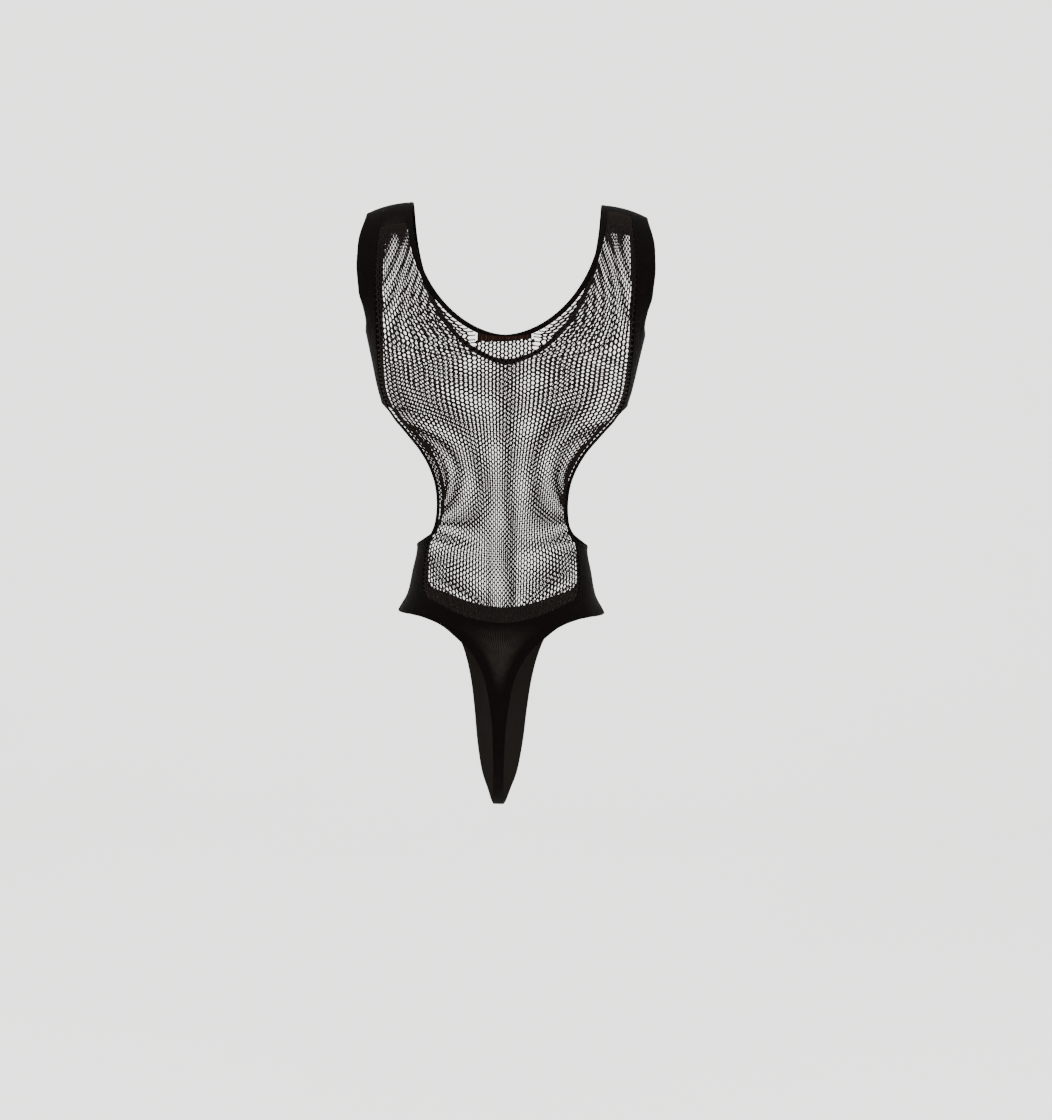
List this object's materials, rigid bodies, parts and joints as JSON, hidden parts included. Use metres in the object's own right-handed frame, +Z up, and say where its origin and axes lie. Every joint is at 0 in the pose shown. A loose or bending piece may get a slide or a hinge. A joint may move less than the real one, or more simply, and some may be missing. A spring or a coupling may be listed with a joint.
{
  "type": "net bodysuit",
  "caption": "Sleeveless net bodysuit with dense bands round the arms and hips, side cut-outs, a scoop neck and a narrow back strap, in its hollow worn shape.",
  "frame": {"origin": "on the shoulder line, midway between the two shoulders, where the wearer holds the garment up", "axes": "+Z up, +Y to the wearer's back, +X to the wearer's left"},
  "size_m": [0.3197, 0.21, 0.6593],
  "materials": {
    "net": "open stretch net of black yarn, matt with a faint warm sheen",
    "dense_knit": "dense fine-ribbed black stretch knit, matt, slightly sheer where it is stretched",
    "binding": "narrow black knit binding, matt",
    "gathered_tab": "sheer dark knit with fine upright gathers"
  },
  "bodies": {
    "root": {"back_net": "net", "front_net": "net", "left_arm_band": "dense_knit", "right_arm_band": "dense_knit", "left_shoulder": "dense_knit", "right_shoulder": "dense_knit", "neck_binding": "binding", "back_neck_tab": "gathered_tab", "left_cutout_binding": "binding", "right_cutout_binding": "binding", "left_hip_band": "dense_knit", "right_hip_band": "dense_knit", "back_yoke_and_strap": "dense_knit", "front_brief": "dense_knit"}
  },
  "joints": []
}
